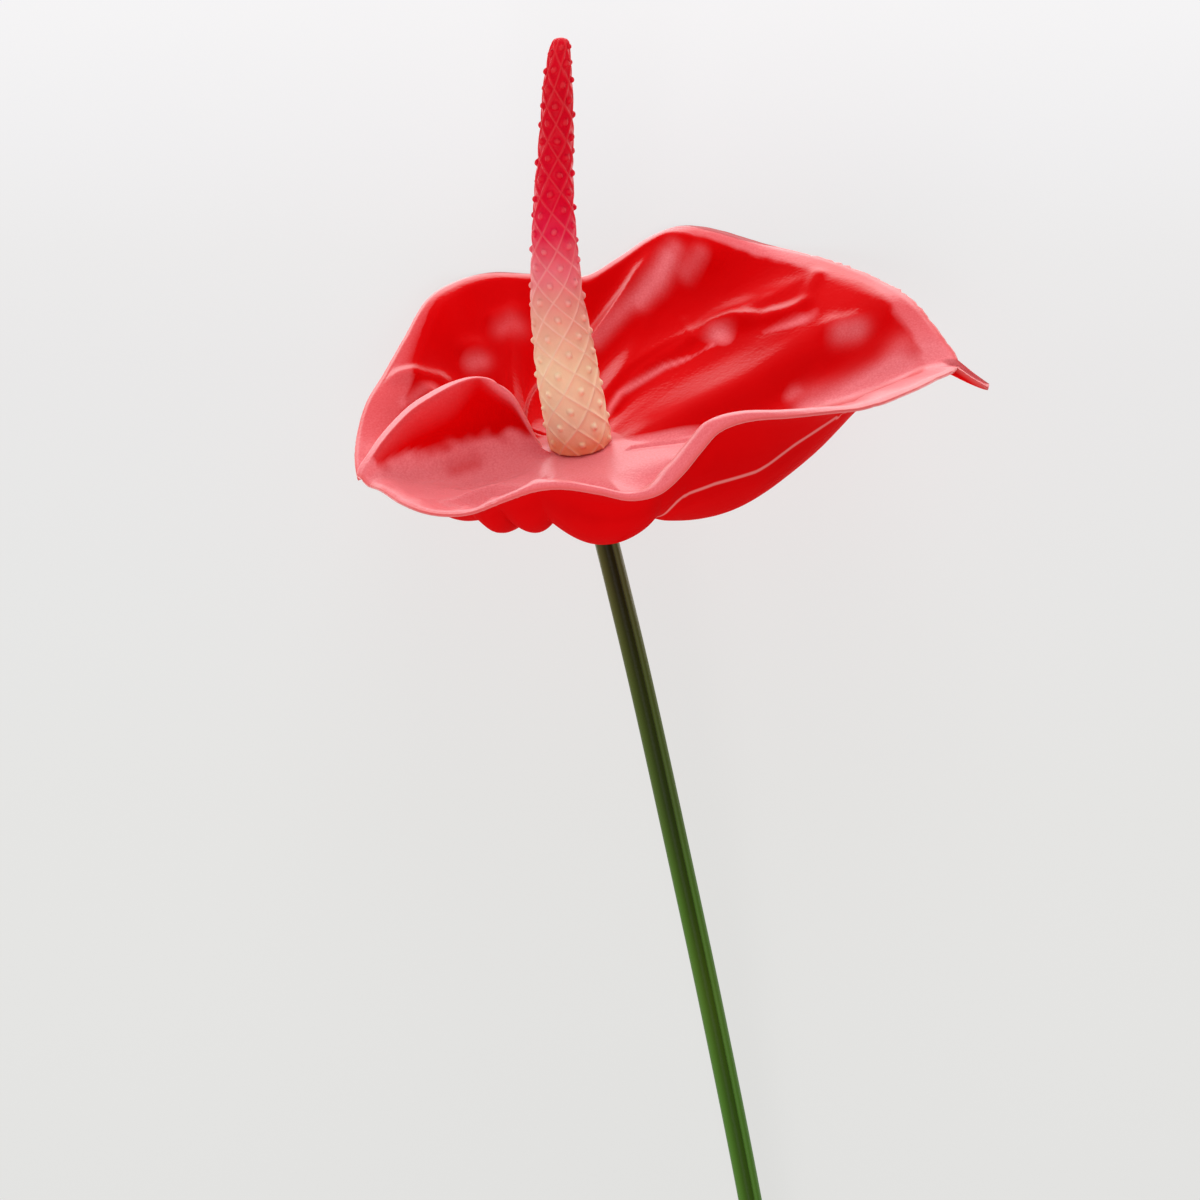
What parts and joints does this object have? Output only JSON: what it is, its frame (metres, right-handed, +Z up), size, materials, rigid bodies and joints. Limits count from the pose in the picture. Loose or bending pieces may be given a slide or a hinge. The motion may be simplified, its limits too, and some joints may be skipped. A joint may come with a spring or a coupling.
{
  "type": "cut anthurium stem",
  "caption": "Cut anthurium flower lying on its side: one red heart-shaped spathe with an upright net-patterned spadix on a long bare green stem.",
  "frame": {"origin": "middle of the bounding box, on the surface that the flower lies on", "axes": "+Y along the stem towards the spadix tip, +X towards the spathe's pointed end, +Z up from the surface"},
  "size_m": [0.1272, 0.4174, 0.0975],
  "materials": {
    "spathe": "waxy sheen, deep red",
    "spadix": "satin, cream at the foot to crimson at the tip",
    "stem": "satin, dark green, brownish at the top"
  },
  "bodies": {
    "root": {"spathe": "spathe", "spadix": "spadix", "stem": "stem"}
  },
  "joints": []
}
